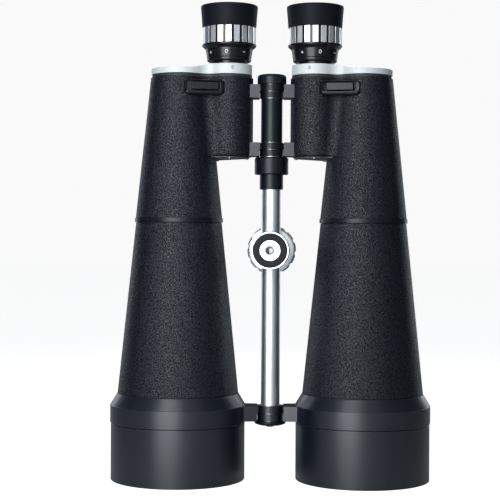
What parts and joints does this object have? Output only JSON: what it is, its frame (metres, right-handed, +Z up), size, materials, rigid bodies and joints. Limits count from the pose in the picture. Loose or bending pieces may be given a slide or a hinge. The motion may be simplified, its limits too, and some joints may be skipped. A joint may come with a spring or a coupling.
{
  "type": "astronomy binoculars",
  "caption": "Large straight-view Porro-prism binoculars on a centre hinge with a braced rod, a sliding tripod post, separately focusing eyepieces and wide objective hoods.",
  "frame": {"origin": "on the hinge axis, level with the rims of the two objective hoods, which the object stands on", "axes": "+Z up along the barrels to the eyepieces, +X to the right-hand barrel seen from the tripod side, -Y towards the tripod"},
  "size_m": [0.2632, 0.1112, 0.3888],
  "materials": {
    "grained_covering": "pebble grain, blue-black",
    "black_casting": "satin dark grey paint on cast alloy",
    "satin_black_metal": "smooth satin black",
    "gloss_black_metal": "gloss black",
    "silver_plate": "satin silver paint",
    "bright_aluminium": "fine turned, bright",
    "plain_aluminium": "plain sheet",
    "bright_rod": "polished",
    "screw_steel": "turned steel",
    "shoe_brass": "turned",
    "cup_rubber": "smooth matte",
    "pad_rubber": "matte",
    "black_nylon": "matte",
    "optical_glass": "polished",
    "coated_glass": "polished, green-blue coating"
  },
  "bodies": {
    "left_half": {"left_prism_housing": "black_casting", "left_housing_skin": "grained_covering", "left_strap_lug": "satin_black_metal", "left_eyepiece_plate": "silver_plate", "left_plate_screws": "screw_steel", "left_shelf_plate": "black_casting", "left_prism_shelf": "plain_aluminium", "left_upper_prism": "optical_glass", "left_lower_prism": "optical_glass", "left_prism_straps": "screw_steel", "left_objective_tube": "black_casting", "left_tube_skin": "grained_covering", "left_objective_collar": "satin_black_metal", "left_objective_hood": "satin_black_metal", "left_crown_lens": "coated_glass", "left_flint_lens": "optical_glass", "left_lens_retainer": "satin_black_metal", "left_eyepiece_base": "satin_black_metal", "hinge_axle": "screw_steel", "hinge_tube": "gloss_black_metal", "hinge_cap": "gloss_black_metal", "tension_collar": "gloss_black_metal", "rod_sleeve": "gloss_black_metal", "support_rod": "bright_rod", "foot_cap": "gloss_black_metal", "hinge_washers": "screw_steel"},
    "left_ocular": {"left_ocular_barrel": "satin_black_metal", "left_ocular_lenses": "coated_glass"},
    "left_focus": {"left_focus_ring": "satin_black_metal", "left_grip_ring": "bright_aluminium", "left_eyecup": "cup_rubber"},
    "right_half": {"right_prism_housing": "black_casting", "right_housing_skin": "grained_covering", "right_strap_lug": "satin_black_metal", "right_eyepiece_plate": "silver_plate", "right_plate_screws": "screw_steel", "right_shelf_plate": "black_casting", "right_prism_shelf": "plain_aluminium", "right_upper_prism": "optical_glass", "right_lower_prism": "optical_glass", "right_prism_straps": "screw_steel", "right_objective_tube": "black_casting", "right_tube_skin": "grained_covering", "right_objective_collar": "satin_black_metal", "right_objective_hood": "satin_black_metal", "right_crown_lens": "coated_glass", "right_flint_lens": "optical_glass", "right_lens_retainer": "satin_black_metal", "right_eyepiece_base": "satin_black_metal"},
    "right_ocular": {"right_ocular_barrel": "satin_black_metal", "right_ocular_lenses": "coated_glass"},
    "right_focus": {"right_focus_ring": "satin_black_metal", "right_grip_ring": "bright_aluminium", "right_eyecup": "cup_rubber"},
    "mount_slider": {"mount_liner": "black_nylon"},
    "tripod_mount": {"mount_post": "bright_aluminium", "tripod_bushing": "screw_steel", "friction_ring": "pad_rubber"},
    "clamp_shoe": {"clamp_shoe": "shoe_brass"},
    "clamp_knob": {"clamp_knob": "bright_aluminium"}
  },
  "joints": [
    {"name": "fold", "type": "hinge", "parent": "left_half", "child": "right_half", "pos_m": [0, 0, 0.06], "axis": [0, 0, -1], "range_deg": [0, 70]},
    {"name": "mount_slide", "type": "slide", "parent": "left_half", "child": "mount_slider", "axis": [0, 0, 1], "range_m": [-0.07, 0.032]},
    {"name": "mount_swivel", "type": "hinge", "parent": "mount_slider", "child": "tripod_mount", "pos_m": [0, 0, 0.188], "axis": [0, 0, -1], "range_deg": [-22, 22]},
    {"name": "clamp_travel", "type": "slide", "parent": "tripod_mount", "child": "clamp_shoe", "axis": [0.0401, 0.9992, 0], "range_m": [0, 0.0023]},
    {"name": "knob_turn", "type": "hinge", "parent": "clamp_shoe", "child": "clamp_knob", "pos_m": [0.0008, 0.01998, 0.188], "axis": [0.0401, 0.9992, 0], "range_deg": [0, 540]},
    {"name": "left_focus_travel", "type": "slide", "parent": "left_half", "child": "left_ocular", "axis": [0, 0, 1], "range_m": [-0.00252, 0.00252]},
    {"name": "left_focus_turn", "type": "hinge", "parent": "left_ocular", "child": "left_focus", "pos_m": [-0.0354, 0, 0.36], "axis": [0, 0, 1], "range_deg": [-150, 150]},
    {"name": "right_focus_travel", "type": "slide", "parent": "right_half", "child": "right_ocular", "axis": [0, 0, 1], "range_m": [-0.00252, 0.00252]},
    {"name": "right_focus_turn", "type": "hinge", "parent": "right_ocular", "child": "right_focus", "pos_m": [0.0354, 0, 0.36], "axis": [0, 0, 1], "range_deg": [-150, 150]}
  ],
  "couplings": [
    {"joint": "clamp_travel", "follows": "knob_turn", "m_per_rad": 0.00023873},
    {"joint": "left_focus_travel", "follows": "left_focus_turn", "m_per_rad": 0.00095493},
    {"joint": "right_focus_travel", "follows": "right_focus_turn", "m_per_rad": 0.00095493}
  ]
}
